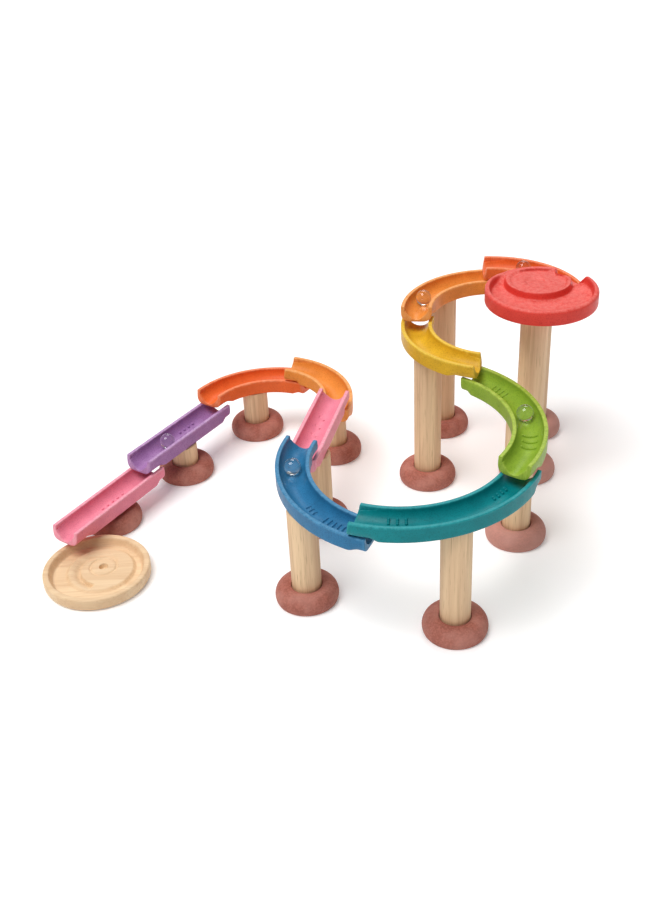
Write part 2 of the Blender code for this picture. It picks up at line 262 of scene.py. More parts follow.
# %% Foot composite
def bark_composite(name, body, dark, light, pale):
    """Matt pressed bark dust with coarse grains and pits. The attribute 'faded' is a foot's own paleness."""
    made, tree, shader = new_material(name)
    place = add(tree, "ShaderNodeTexCoord").outputs["Object"]
    grains = add(tree, "ShaderNodeTexVoronoi", {"Vector": place, "Scale": per_mm(1.5), "Randomness": 1.0})
    dust = add(tree, "ShaderNodeTexNoise", {"Vector": place, "Scale": per_mm(0.9), "Detail": 3.0})
    cloud = add(tree, "ShaderNodeTexNoise", {"Vector": place, "Scale": per_mm(17.0), "Detail": 2.0})
    tint = add(tree, "ShaderNodeSeparateColor", {"Color": grains.outputs["Color"]})
    pick = add(tree, "ShaderNodeMath", {0: tint, 1: dust}, operation="MULTIPLY")
    darker = add(tree, "ShaderNodeMapRange",
                 {"Value": pick, "From Min": 0.1, "From Max": 0.45, "To Min": 0.5, "To Max": 0.0})
    base = add(tree, "ShaderNodeMix", {0: darker, 6: linear(body), 7: linear(dark)},
               data_type="RGBA")
    lighter = add(tree, "ShaderNodeMapRange",
                  {"Value": cloud, "From Min": 0.4, "From Max": 0.7, "To Max": 0.6})
    mottled = add(tree, "ShaderNodeMix", {0: lighter, 6: base.outputs[2], 7: linear(light)},
                  data_type="RGBA")
    faded = add(tree, "ShaderNodeAttribute", attribute_name="faded").outputs["Fac"]
    colour = add(tree, "ShaderNodeMix", {0: faded, 6: mottled.outputs[2], 7: linear(pale)},
                 data_type="RGBA")
    connect(tree, shader, {"Base Color": colour.outputs[2]})
    gloss = add(tree, "ShaderNodeMapRange", {"Value": dust, "To Min": 0.68, "To Max": 0.85})
    connect(tree, shader, {"Roughness": gloss})
    bump = add(tree, "ShaderNodeBump", {"Height": dust, "Strength": 0.5, "Distance": 0.25 * MM})
    connect(tree, shader, {"Normal": bump})
    shader.inputs["IOR"].default_value = 1.45
    return made


FOOT_WOOD = bark_composite("pressed_bark", "#b06a5a", "#84483b", "#c28678", "#d3a195")

# %% [markdown]
# ## Clear glass
#
# The marbles are soda-lime glass, fire polished. They take their colour from what lies behind them, turned
# upside down, and show a bright window of light at the top. A few tiny seed bubbles would be too fine to
# see, so the only texture is a very slight waviness of the skin, as pressed marbles have.

# %% Marble glass
def marble_glass(name):
    """Clear soda-lime glass with a faintly wavy, slightly handled skin."""
    made, tree, shader = new_material(name)
    place = add(tree, "ShaderNodeTexCoord").outputs["Object"]
    waves = add(tree, "ShaderNodeTexNoise", {"Vector": place, "Scale": per_mm(7.0), "Detail": 1.0})
    smears = add(tree, "ShaderNodeTexNoise", {"Vector": place, "Scale": per_mm(2.5), "Detail": 3.0})
    bump = add(tree, "ShaderNodeBump", {"Height": waves, "Strength": 0.08, "Distance": 0.1 * MM})
    connect(tree, shader, {"Normal": bump})
    touched = add(tree, "ShaderNodeMapRange",
                  {"Value": smears, "From Min": 0.5, "From Max": 0.75, "To Max": 0.02})
    connect(tree, shader, {"Roughness": touched})
    tint = add(tree, "ShaderNodeMix", {0: smears, 6: linear("#ffffff"), 7: linear("#f4fbf9")},
               data_type="RGBA")
    connect(tree, shader, {"Base Color": tint.outputs[2]})
    shader.inputs["Transmission Weight"].default_value = 1.0
    shader.inputs["IOR"].default_value = 1.51
    return made


GLASS = marble_glass("soda_lime_glass")

# %% [markdown]
# ## The layout of the run
#
# Curves come in two sizes and straights in one length. A track is told by its kind, the centre of its
# curve or the middle of its straight, which way it turns, and where its nose points. Its height comes from
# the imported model. The list repeats the one that the model was made from, because no other file is read,
# and a later cell compares each finished track with its node.

# %% Sizes and places of the tracks
HALF_WIDTH = 16.0 * MM
BODY_DEPTH = 15.7 * MM
CHANNEL_RADIUS = 12.1 * MM
ROUND_END = 6.0 * MM       # rounded underside at the start of a track
NOSE = 15.0 * MM           # rounded underside at its nose
RAMP = 9.0 * MM            # where the underside turns square
SPOUT_DROP = 1.7 * MM
SPOUT_LENGTH = 11.0 * MM
SPOUT_RADIUS = 8.5 * MM
SPOUT_REACH = 2.5 * MM
CURVES = {"small": (80.0 * MM, 90.0), "large": (117.0 * MM, 88.0)}
STRAIGHT_LENGTH = 134.0 * MM
TRACKS = [
    ("track_02_vermilion_curve", "small", (177.75, 94.5), 1, 86.5),
    ("track_03_orange_curve", "small", (181.75, 96.0), 1, 171.5),
    ("track_04_yellow_curve", "small", (181.75, 94.0), 1, 249.3),
    ("track_05_green_curve", "large", (72.75, -65.0), -1, -37.5),
    ("track_06_teal_curve", "large", (71.75, -70.5), -1, -114.0),
    ("track_07_blue_curve", "large", (87.75, -75.5), -1, -203.2),
    ("track_08_pink_straight", "straight", (-4.05, 22.5), 0, 74.0),
    ("track_09_orange_curve", "small", (-62.25, 103.5), 1, 69.0),
    ("track_10_vermilion_curve", "small", (-57.75, 104.5), 1, 146.5),
    ("track_11_purple_straight", "straight", (-154.45, 102.0), 0, 234.2),
    ("track_12_pink_straight", "straight", (-219.85, 6.6), 0, 235.6),
]


def track_length(kind):
    if kind == "straight":
        return STRAIGHT_LENGTH
    radius, span = CURVES[kind]
    return radius * math.radians(span)


def path_point(kind, centre, turn, angle, travel):
    """The middle of the channel, level with the wall tops, at a distance from the track's start."""
    cx, cy = centre[0] * MM, centre[1] * MM
    if kind == "straight":
        heading = math.radians(angle)
        along = travel - 0.5 * STRAIGHT_LENGTH
        return cx + along * math.cos(heading), cy + along * math.sin(heading)
    radius = CURVES[kind][0]
    place = math.radians(angle) - turn * (track_length(kind) - travel) / radius
    return cx + radius * math.cos(place), cy + radius * math.sin(place)


def dye_of(node):
    return node.split("_")[2]


print({kind: round(track_length(kind) / MM) for kind in ("small", "large", "straight")}, "mm long")

# %% [markdown]
# ## The track's section
#
# Cut a track across its middle and it is a block with a half-round channel. Near its ends the underside is
# rounded too, so that one track's nose sits neatly over the next one's channel. Each point of the section
# therefore carries two places, one for each underside, and its outward direction in both.

# %% One section with two undersides
WALL_ROUND = 0.75 * MM
UNDERSIDE_STEPS = 52
CHANNEL_STEPS = 32
ROUND_STEPS = 3
SQUARENESS = 24.0          # the higher, the sharper the lower corners
END_SQUARENESS = 4.0


def wall_rounding(middle, side):
    """Quarter circles at the inner and outer edge of a wall top."""
    for step in range(ROUND_STEPS + 1):
        angle = 0.5 * math.pi * step / ROUND_STEPS
        yield middle + side * WALL_ROUND * math.sin(angle), WALL_ROUND * (1.0 - math.cos(angle))


def superellipse(c, d, power):
    """How far out a direction meets a rounded box of half sizes 1."""
    return (abs(c) ** power + abs(d) ** power) ** (-1.0 / power)


def section_points():
    """Rows of (across and depth at the ends, across and depth in the middle, is channel, wear)."""
    rows = []
    for across, depth in wall_rounding(HALF_WIDTH - WALL_ROUND, 1):
        rows.append((across, depth, across, depth, 0.0, 1.0))
    body = BODY_DEPTH - WALL_ROUND
    for step in range(1, UNDERSIDE_STEPS):
        angle = math.pi * step / UNDERSIDE_STEPS
        c, d = math.cos(angle), math.sin(angle)
        soft, sharp = (superellipse(c, d, power) for power in (END_SQUARENESS, SQUARENESS))
        wear = max(0.0, 1.0 - 8.0 * d)
        rows.append((HALF_WIDTH * c * soft, WALL_ROUND + body * d * soft,
                     HALF_WIDTH * c * sharp, WALL_ROUND + body * d * sharp, 0.0, 0.5 * wear))
    for across, depth in reversed(list(wall_rounding(HALF_WIDTH - WALL_ROUND, 1))):
        rows.append((-across, depth, -across, depth, 0.0, 1.0))
    for across, depth in wall_rounding(CHANNEL_RADIUS + WALL_ROUND, -1):
        rows.append((-across, depth, -across, depth, 0.0, 1.0))
    for step in range(1, CHANNEL_STEPS):
        angle = math.pi * step / CHANNEL_STEPS
        c, d = math.cos(angle), math.sin(angle)
        depth = WALL_ROUND + (CHANNEL_RADIUS - WALL_ROUND) * d
        rows.append((-CHANNEL_RADIUS * c, depth, -CHANNEL_RADIUS * c, depth, 1.0, max(0.0, 0.5 - 4.0 * d)))
    for across, depth in reversed(list(wall_rounding(CHANNEL_RADIUS + WALL_ROUND, -1))):
        rows.append((across, depth, across, depth, 0.0, 1.0))
    return np.array(rows)


def outward(places):
    """Unit vectors that point out of a closed outline drawn clockwise, seen with depth downwards."""
    run = np.roll(places, -1, 0) - np.roll(places, 1, 0)
    out = np.stack([run[:, 1], -run[:, 0]], 1)
    return out / np.linalg.norm(out, axis=1)[:, None]


def section_object():
    """A loop of edges whose points carry the two sections as attributes."""
    rows = section_points()
    count = len(rows)
    mesh = bpy.data.meshes.new("track_section")
    points = [(across, -depth, 0.0) for across, depth in rows[:, :2]]
    mesh.from_pydata(points, [(i, (i + 1) % count) for i in range(count)], [])
    flat = np.zeros(count)
    vectors = {"round_place": rows[:, 0:2], "square_place": rows[:, 2:4],
               "round_out": outward(rows[:, 0:2]), "square_out": outward(rows[:, 2:4])}
    for name, values in vectors.items():
        attribute = mesh.attributes.new(name, "FLOAT_VECTOR", "POINT")
        attribute.data.foreach_set("vector", np.column_stack([values, flat]).astype(np.float32).ravel())
    for name, column in (("channel", 4), ("wear", 5)):
        attribute = mesh.attributes.new(name, "FLOAT", "POINT")
        attribute.data.foreach_set("value", rows[:, column].astype(np.float32))
    made = bpy.data.objects.new("track_section", mesh)
    scene.collection.objects.link(made)
    return made


section = section_object()
print(len(section.data.vertices), "points in the section")

# %% [markdown]
# ## Growing a track along its path
#
# A sweep modifier would drag one fixed section along. Here the section changes, so the tree sweeps only to
# get the faces, and then puts each point where it belongs: the path's place, plus a step to the left, a
# step down, and at the nose a step ahead, so that the floor stands out a little. A second, narrower
# half-round cut runs down into the nose and guides the marble on. Close to either end the section shrinks
# by a quarter circle, which rounds the cut edges.

# %% The geometry tree of a track
MATH = "ShaderNodeMath"
VECTOR_MATH = "ShaderNodeVectorMath"
EDGE_ROUND = 0.6 * MM              # less than the rounding of the wall tops
RIM_WEAR = 1.6 * MM                # how far from an end the edge is rubbed pale
RIM_PALENESS = 0.8


def group_input(tree, name, kind, value=None):
    socket = tree.interface.new_socket(name=name, in_out="INPUT", socket_type=kind)
    if value is not None:
        socket.default_value = value
    return socket.identifier


def track_tree():
    """Builds the tree once. Every track uses it with its own path, length and material."""
    tree = bpy.data.node_groups.new("grow_track", "GeometryNodeTree")
    names = {
        "path": group_input(tree, "Path", "NodeSocketObject"),
        "section": group_input(tree, "Section", "NodeSocketObject"),
        "length": group_input(tree, "Length", "NodeSocketFloat", 0.1),
        "material": group_input(tree, "Material", "NodeSocketMaterial"),
    }
    tree.interface.new_socket(name="Track", in_out="OUTPUT", socket_type="NodeSocketGeometry")
    given = add(tree, "NodeGroupInput").outputs
    path = add(tree, "GeometryNodeObjectInfo", {"Object": given["Path"]}).outputs["Geometry"]
    loop = add(tree, "GeometryNodeObjectInfo", {"Object": given["Section"]}).outputs["Geometry"]
    travel = add(tree, "GeometryNodeSplineParameter").outputs["Length"]
    tangent = add(tree, "GeometryNodeInputTangent")
    position = add(tree, "GeometryNodeInputPosition")
    for name, value, kind in (("travel", travel, "FLOAT"), ("ahead", tangent, "FLOAT_VECTOR"),
                              ("place", position, "FLOAT_VECTOR")):
        path = add(tree, "GeometryNodeStoreNamedAttribute",
                   {"Geometry": path, "Name": name, "Value": value}, data_type=kind, domain="POINT")
    outline = add(tree, "GeometryNodeMeshToCurve", {"Mesh": loop})
    swept = add(tree, "GeometryNodeCurveToMesh",
                {"Curve": path, "Profile Curve": outline, "Fill Caps": True})
    read = {}
    for name in ("travel", "channel", "wear", "ahead", "place", "round_place", "square_place", "round_out",
                 "square_out"):
        kind = "FLOAT" if name in ("travel", "channel", "wear") else "FLOAT_VECTOR"
        read[name] = add(tree, "GeometryNodeInputNamedAttribute", {"Name": name}, data_type=kind)
    along, length = read["travel"], given["Length"]

    # Where the underside changes, and which section that gives
    to_nose = add(tree, MATH, (length, along), operation="SUBTRACT")
    from_end = add(tree, MATH, (along, to_nose), operation="MINIMUM")
    fall_start = add(tree, MATH, (length, NOSE + RAMP), operation="SUBTRACT")
    nose_start = add(tree, MATH, (length, NOSE), operation="SUBTRACT")
    slopes = ((ROUND_END, ROUND_END + RAMP, 0.0, 1.0), (fall_start, nose_start, 1.0, 0.0),
              (nose_start, length, 0.0, 1.0))
    rise, fall, spout = (
        add(tree, "ShaderNodeMapRange",
            {"Value": along, "From Min": start, "From Max": end, "To Min": low, "To Max": high},
            interpolation_type="SMOOTHSTEP") for start, end, low, high in slopes)
    square = add(tree, MATH, (rise, fall), operation="MINIMUM")
    place, out = (
        add(tree, "ShaderNodeMix", {0: square, 4: read["round_" + part], 5: read["square_" + part]},
            data_type="VECTOR").outputs[1] for part in ("place", "out"))

    # A quarter circle draws the section in at both ends
    share = add(tree, MATH, (from_end, EDGE_ROUND), operation="DIVIDE", use_clamp=True)
    gone = add(tree, MATH, (1.0, share), operation="SUBTRACT")
    gone_squared = add(tree, MATH, (gone, gone), operation="MULTIPLY")
    left_squared = add(tree, MATH, (1.0, gone_squared), operation="SUBTRACT")
    still_left = add(tree, MATH, (left_squared,), operation="SQRT")
    lost = add(tree, MATH, (1.0, still_left), operation="SUBTRACT")
    inset = add(tree, MATH, (EDGE_ROUND, lost), operation="MULTIPLY")
    inward = add(tree, VECTOR_MATH, {0: out, "Scale": inset}, operation="SCALE")
    shrunk = add(tree, VECTOR_MATH, (place, inward), operation="SUBTRACT")
    parts = add(tree, "ShaderNodeSeparateXYZ", (shrunk,)).outputs

    # The narrower half round that runs down into the nose
    across_squared = add(tree, MATH, (parts["X"], parts["X"]), operation="MULTIPLY")
    room = add(tree, MATH, (SPOUT_RADIUS ** 2, across_squared), operation="SUBTRACT")
    room_or_none = add(tree, MATH, (0.0, room), operation="MAXIMUM")
    hollow = add(tree, MATH, (room_or_none,), operation="SQRT")
    spout_start = add(tree, MATH, (length, SPOUT_LENGTH), operation="SUBTRACT")
    past_start = add(tree, MATH, (along, spout_start), operation="SUBTRACT")
    tilt = add(tree, MATH, (SPOUT_DROP / SPOUT_LENGTH, past_start), operation="MULTIPLY")
    tilted = add(tree, MATH, (hollow, tilt), operation="ADD")
    scoop = add(tree, MATH, (tilted, CHANNEL_RADIUS - SPOUT_RADIUS), operation="ADD")
    in_channel = add(tree, MATH, (scoop, read["channel"]), operation="MULTIPLY")
    depth = add(tree, MATH, (parts["Y"], in_channel), operation="MAXIMUM")

    # From the path: a step to the left, a step down, and a step ahead at the nose
    reach = add(tree, MATH, (depth, SPOUT_REACH / BODY_DEPTH), operation="MULTIPLY")
    lean = add(tree, MATH, (spout, reach), operation="MULTIPLY")
    left = add(tree, VECTOR_MATH, ((0.0, 0.0, 1.0), read["ahead"]), operation="CROSS_PRODUCT")
    up = add(tree, MATH, (depth, -1.0), operation="MULTIPLY")
    moved = read["place"]
    for step in (add(tree, VECTOR_MATH, {0: left, "Scale": parts["X"]}, operation="SCALE"),
                 add(tree, "ShaderNodeCombineXYZ", {"Z": up}),
                 add(tree, VECTOR_MATH, {0: read["ahead"], "Scale": lean}, operation="SCALE")):
        moved = add(tree, VECTOR_MATH, (moved, step), operation="ADD")
    shaped = add(tree, "GeometryNodeSetPosition", {"Geometry": swept, "Position": moved})

    # Edges rubbed pale
    clear = add(tree, MATH, (from_end, RIM_WEAR), operation="DIVIDE", use_clamp=True)
    near = add(tree, MATH, (1.0, clear), operation="SUBTRACT")
    rim = add(tree, MATH, (RIM_PALENESS, near), operation="MULTIPLY")
    wear = add(tree, MATH, (rim, read["wear"]), operation="MAXIMUM")
    with_wear_and_sheen = add(tree, "GeometryNodeStoreNamedAttribute", {"Geometry": shaped, "Name": "wear", "Value": wear},
               data_type="FLOAT", domain="POINT")
    real = add(tree, "GeometryNodeRealizeInstances", {"Geometry": with_wear_and_sheen})
    done = add(tree, "GeometryNodeSetMaterial", {"Geometry": real, "Material": given["Material"]})
    add(tree, "NodeGroupOutput", {0: done})
    return tree, names


grow_track, track_inputs = track_tree()
print(len(grow_track.nodes), "nodes grow a track")

# %% Run a tree and keep the mesh
KEPT_ATTRIBUTES = {"wear", "material_index", "sharp_face", "sharp_edge"}


def run_tree(tree, inputs, values, name):
    """Evaluates a geometry tree on an empty mesh and returns a plain mesh object."""
    holder = bpy.data.objects.new(name + "_maker", bpy.data.meshes.new(name + "_maker"))
    scene.collection.objects.link(holder)
    modifier = holder.modifiers.new("grow", "NODES")
    modifier.node_group = tree
    for key, value in values.items():
        modifier[inputs[key]] = value
    graph = bpy.context.evaluated_depsgraph_get()
    mesh = bpy.data.meshes.new_from_object(holder.evaluated_get(graph), depsgraph=graph)
    bpy.data.objects.remove(holder, do_unlink=True)
    mesh.name = name
    made = bpy.data.objects.new(name, mesh)
    scene.collection.objects.link(made)
    return made


def tidy_mesh(made, sharp=40.0):
    """Merges doubles, points faces outwards, and shades smooth but for sharp edges."""
    bm = bmesh.new()
    bm.from_mesh(made.data)
    bmesh.ops.remove_doubles(bm, verts=bm.verts, dist=0.002 * MM)
    bmesh.ops.triangulate(bm, faces=[face for face in bm.faces if len(face.verts) > 4])
    bmesh.ops.recalc_face_normals(bm, faces=bm.faces)
    bm.to_mesh(made.data)
    bm.free()
    made.data.shade_smooth()
    made.data.set_sharp_from_angle(angle=math.radians(sharp))
    for attribute in [a.name for a in made.data.attributes if not a.is_required]:
        if attribute not in KEPT_ATTRIBUTES and not attribute.startswith("."):
            made.data.attributes.remove(made.data.attributes[attribute])


def paint(made, name, value_of):
    """Stores a number for each point of a mesh, which a material reads."""
    attribute = made.data.attributes.new(name, "FLOAT", "POINT")
    attribute.data.foreach_set("value", [value_of(vertex) for vertex in made.data.vertices])


def stand_for(piece, node):
    """Lets a finished piece take its node's place and follow its body."""
    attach(piece, frame["nodes"][node]["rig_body"])
    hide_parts(node)


# %% Build the tracks
FINE_STEP = 1.7 * MM
END_STEPS = (0.0, 0.06, 0.2, 0.45, 1.0)     # shares of the rounded edge


def stations(length):
    ends = [EDGE_ROUND * share for share in END_STEPS]
    count = round((length - 2.0 * EDGE_ROUND) / FINE_STEP)
    middle = [EDGE_ROUND + (length - 2.0 * EDGE_ROUND) * i / count for i in range(1, count)]
    return ends + middle + [length - d for d in reversed(ends)]


def path_object(node, kind, centre, turn, angle):
    """A curve down the middle of the channel at the height of the wall tops."""
    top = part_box(node)[1].z
    curve = bpy.data.curves.new(node + "_path", "CURVE")
    curve.dimensions = "3D"
    spline = curve.splines.new("POLY")
    distances = stations(track_length(kind))
    spline.points.add(len(distances) - 1)
    for point, travel in zip(spline.points, distances):
        point.co = (*path_point(kind, centre, turn, angle, travel), top, 1.0)
    made = bpy.data.objects.new(node + "_path", curve)
    scene.collection.objects.link(made)
    return made


paths = {}
tracks = {}
for node, kind, centre, turn, angle in TRACKS:
    paths[node] = path_object(node, kind, centre, turn, angle)
    values = {"path": paths[node], "section": section, "length": track_length(kind),
              "material": DYES[dye_of(node)]}
    piece = run_tree(grow_track, track_inputs, values, node.replace("track", "channel"))
    tidy_mesh(piece)
    tracks[node] = piece
    low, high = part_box(node)
    corners = np.array([v.co for v in piece.data.vertices])
    error = max(np.abs(corners.min(0) - low).max(), np.abs(corners.max(0) - high).max())
    print(node, len(piece.data.vertices), "points, box within", round(error / MM, 2), "mm")

# %% [markdown]
# ## Marks in the channels
#
# Small raised ribs, and grooves and dimples that are cut in, make the marbles chatter. They sit in rows
# along the path, so a second tree puts points on it at equal distances, turns each to face along the track,
# and sets one small rounded grain on every point. Ribs are left standing. Grooves and dimples use the same
# grains as a cutter, one grain wide, because a Boolean fails on grains that overlap. There are grooves and
# no ribs where a marble's way ends, so that it doesn't cut into them.

# %% Rows of marks
GRAIN_TURN = math.radians(9.0)     # from one grain of a rib to the next, round the channel


def marks_tree():
    """Rows of rounded grains along a path. Each row lies across the channel, round its half circle."""
    tree = bpy.data.node_groups.new("row_of_marks", "GeometryNodeTree")
    names = {
        "path": group_input(tree, "Path", "NodeSocketObject"),
        "first": group_input(tree, "First", "NodeSocketFloat", 0.02),
        "spacing": group_input(tree, "Spacing", "NodeSocketFloat", 0.005),
        "count": group_input(tree, "Count", "NodeSocketInt", 3),
        "wide": group_input(tree, "Wide", "NodeSocketInt", 1),
        "side": group_input(tree, "Side", "NodeSocketFloat", 0.0),
        "size": group_input(tree, "Size", "NodeSocketVector"),
        "material": group_input(tree, "Material", "NodeSocketMaterial"),
    }
    tree.interface.new_socket(name="Marks", in_out="OUTPUT", socket_type="NodeSocketGeometry")
    given = add(tree, "NodeGroupInput").outputs
    path = add(tree, "GeometryNodeObjectInfo", {"Object": given["Path"]}).outputs["Geometry"]

    # Which row a grain is in, and its place in the row
    total = add(tree, MATH, (given["Count"], given["Wide"]), operation="MULTIPLY")
    grains = add(tree, "GeometryNodePoints", {"Count": total})
    index = add(tree, "GeometryNodeInputIndex")
    half_on = add(tree, MATH, (index, 0.5), operation="ADD")
    rows = add(tree, MATH, (half_on, given["Wide"]), operation="DIVIDE")
    number = add(tree, MATH, (rows,), operation="FLOOR")
    before = add(tree, MATH, (number, given["Wide"]), operation="MULTIPLY")
    place = add(tree, MATH, (index, before), operation="SUBTRACT")
    gaps = add(tree, MATH, (given["Wide"], 1.0), operation="SUBTRACT")
    middle = add(tree, MATH, (0.5, gaps), operation="MULTIPLY")
    off_middle = add(tree, MATH, (place, middle), operation="SUBTRACT")
    turn = add(tree, MATH, (GRAIN_TURN, off_middle), operation="MULTIPLY")
    angle = add(tree, MATH, (given["Side"], turn), operation="ADD")

    # That many steps along the path, and round the channel's half circle
    steps = add(tree, MATH, (number, given["Spacing"]), operation="MULTIPLY")
    along = add(tree, MATH, (given["First"], steps), operation="ADD")
    spot = add(tree, "GeometryNodeSampleCurve", {"Curves": path, "Length": along}, mode="LENGTH")
    ahead = spot.outputs["Tangent"]
    left = add(tree, VECTOR_MATH, ((0.0, 0.0, 1.0), ahead), operation="CROSS_PRODUCT")
    sine = add(tree, MATH, (angle,), operation="SINE")
    cosine = add(tree, MATH, (angle,), operation="COSINE")
    across = add(tree, MATH, (sine, CHANNEL_RADIUS), operation="MULTIPLY")
    depth = add(tree, MATH, (cosine, -CHANNEL_RADIUS), operation="MULTIPLY")
    sideways = add(tree, VECTOR_MATH, {0: left, "Scale": across}, operation="SCALE")
    down = add(tree, "ShaderNodeCombineXYZ", {"Z": depth})
    offset = add(tree, VECTOR_MATH, (sideways, down), operation="ADD")
    put = add(tree, "GeometryNodeSetPosition",
              {"Geometry": grains, "Position": spot.outputs["Position"], "Offset": offset})
    facing = add(tree, "FunctionNodeAlignRotationToVector", {"Vector": ahead}, axis="X")
    tilt = add(tree, "ShaderNodeCombineXYZ", {"X": angle})
    turned = add(tree, "FunctionNodeRotateRotation", {"Rotation": facing, "Rotate By": tilt},
                 rotation_space="LOCAL")
    grain = add(tree, "GeometryNodeMeshUVSphere", {"Segments": 12, "Rings": 8, "Radius": 0.5})
    placed = add(tree, "GeometryNodeInstanceOnPoints",
                 {"Points": put, "Instance": grain, "Rotation": turned, "Scale": given["Size"]})
    real = add(tree, "GeometryNodeRealizeInstances", {"Geometry": placed})
    done = add(tree, "GeometryNodeSetMaterial", {"Geometry": real, "Material": given["Material"]})
    add(tree, "NodeGroupOutput", {0: done})
    return tree, names


row_of_marks, mark_inputs = marks_tree()


def marks(node, label, first, spacing, count, side, wide, size):
    """Marks on a track. Distances and sizes are in millimetres, and side is in degrees from the bottom."""
    values = {"path": paths[node], "first": first * MM, "spacing": spacing * MM, "count": count,
              "wide": wide, "side": math.radians(side), "size": [s * MM for s in size],
              "material": DYES[dye_of(node)]}
    made = run_tree(row_of_marks, mark_inputs, values, label)
    tidy_mesh(made, 60.0)
    return made


def cut_from(piece, cutter):
    """Cuts a row of grains out of a track, which leaves grooves or dimples."""
    modifier = piece.modifiers.new("cut", "BOOLEAN")
    modifier.operation = "DIFFERENCE"
    modifier.object = cutter
    graph = bpy.context.evaluated_depsgraph_get()
    cut = bpy.data.meshes.new_from_object(piece.evaluated_get(graph), depsgraph=graph)
    print(piece.name, len(piece.data.vertices), "points before the cut,", len(cut.vertices), "after")
    piece.modifiers.clear()
    piece.data = cut
    bpy.data.objects.remove(cutter, do_unlink=True)


# %% Put the marks on
# Sizes are in mm: along, across, high. A row has its node, a rib's name, the first mark's distance from the
# start, the spacing, how many, degrees from the bottom, grains wide, and the size.
RIB = (3.0, 3.2, 3.0)
DOT = (2.4, 2.2, 2.2)
DASH = (3.6, 2.2, 2.2)
GROOVE = (2.2, 8.5, 3.2)
SHORT_GROOVE = (2.2, 6.0, 2.8)
RAISED = [
    ("track_05_green_curve", "ribs_green_near_nose", 119.0, 10.0, 3, 0.0, 8, RIB),
    ("track_06_teal_curve", "ribs_teal_near_start", 27.0, 6.0, 4, -32.0, 2, RIB),
    ("track_06_teal_curve", "ribs_teal_near_nose", 135.0, 8.0, 3, -34.0, 3, RIB),
    ("track_11_purple_straight", "ribs_purple_far_row", 40.0, 7.0, 4, -32.0, 1, RIB),
    ("track_11_purple_straight", "ribs_purple_near_row", 43.5, 7.0, 4, -6.0, 1, DASH),
    ("track_12_pink_straight", "ribs_pink_last", 48.0, 7.5, 5, -12.0, 1, DASH),
]
SUNK = [
    ("track_05_green_curve", 27.0, 5.5, 4, 17.0, 1, GROOVE),
    ("track_07_blue_curve", 29.0, 5.5, 5, -10.0, 1, GROOVE),
    ("track_07_blue_curve", 66.0, 5.5, 3, -8.0, 1, SHORT_GROOVE),
    ("track_08_pink_straight", 62.0, 16.0, 3, 27.0, 1, DOT),
    ("track_08_pink_straight", 42.0, 16.0, 4, 2.0, 1, DOT),
]
for node, label, *row in RAISED:
    rib = marks(node, label, *row)
    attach(rib, frame["nodes"][node]["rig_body"])
for node, *row in SUNK:
    cut_from(tracks[node], marks(node, "cutter", *row))
for node, piece in tracks.items():
    stand_for(piece, node)
for helper in [section, *paths.values()]:
    bpy.data.objects.remove(helper, do_unlink=True)
print(len(RAISED), "rows of ribs,", len(SUNK), "rows of grooves and dimples")

# %% [markdown]
# ## Turned pieces
#
# Posts, feet and the finish dish come off a lathe, and the start disc off a milling machine. A profile of
# radius and height, spun round the axis, gives the first two. Sharp turned edges never survive sanding, so
# each profile rounds its corners with a short arc.

# %% Posts and feet
POST_SEGMENTS = 64
FOOT_SEGMENTS = 72
FOOT_CREST = 19.5 * MM             # radius of the ring's highest line
FOOT_BULGE = 5.5 * MM              # widest level
FOOT_SEMI_HEIGHT = 11.5 * MM
FOOT_BASE_ROUND = 0.5 * MM
POST_ROUND = 0.9 * MM
SOCKET_RADIUS = 14.5 * MM
SOCKET_ROUND = 1.4 * MM
SOCKET_FLOOR = 4.0 * MM


def corner(radius, height, size, start, steps=4):
    """A quarter circle that rounds a corner. The middle of the arc is inside by its size."""
    for step in range(steps + 1):
        angle = math.radians(start - 90.0 * step / steps)
        yield radius + size * math.cos(angle), height + size * math.sin(angle)


def rings_of(bm, columns, centre):
    """Bridged rings of points. There is one column of (radius, height) points for each direction."""
    segments = len(columns)
    rings = []
    for level in range(len(columns[0])):
        ring = []
        for i, column in enumerate(columns):
            angle = 2.0 * math.pi * i / segments
            radius, z = column[level]
            ring.append(bm.verts.new((centre.x + radius * math.cos(angle),
                                      centre.y + radius * math.sin(angle), z)))
        rings.append(ring)
    for upper, lower in zip(rings, rings[1:]):
        for i in range(segments):
            j = (i + 1) % segments
            bm.faces.new((upper[i], lower[i], lower[j], upper[j]))
    return rings


def new_piece(name, bm, material):
    """Turns finished mesh data into an object of one material."""
    mesh = bpy.data.meshes.new(name)
    bm.to_mesh(mesh)
    bm.free()
    mesh.materials.append(material)
    made = bpy.data.objects.new(name, mesh)
    scene.collection.objects.link(made)
    return made


def spin(name, profile, centre, segments, material):
    """Spins a profile, from the top of the axis to its bottom, into a closed piece."""
    bm = bmesh.new()
    rings = rings_of(bm, [profile] * segments, centre)
    bm.faces.new(rings[0])
    bm.faces.new(list(reversed(rings[-1])))
    made = new_piece(name, bm, material)
    tidy_mesh(made)
    return made


def node_centre(node):
    low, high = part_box(node)
    return 0.5 * (low + high)


def post_profile(node):
    low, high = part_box(node)
    radius = 0.5 * (high.x - low.x)
    top = list(corner(radius - POST_ROUND, high.z - POST_ROUND, POST_ROUND, 90.0))
    base = list(corner(radius - POST_ROUND, low.z + POST_ROUND, POST_ROUND, 0.0))
    between = [(radius, low.z + (high.z - low.z) * share) for share in (0.8, 0.6, 0.4, 0.2)]
    return [(0.5 * radius, high.z), *top, *between, *base, (0.5 * radius, low.z)]


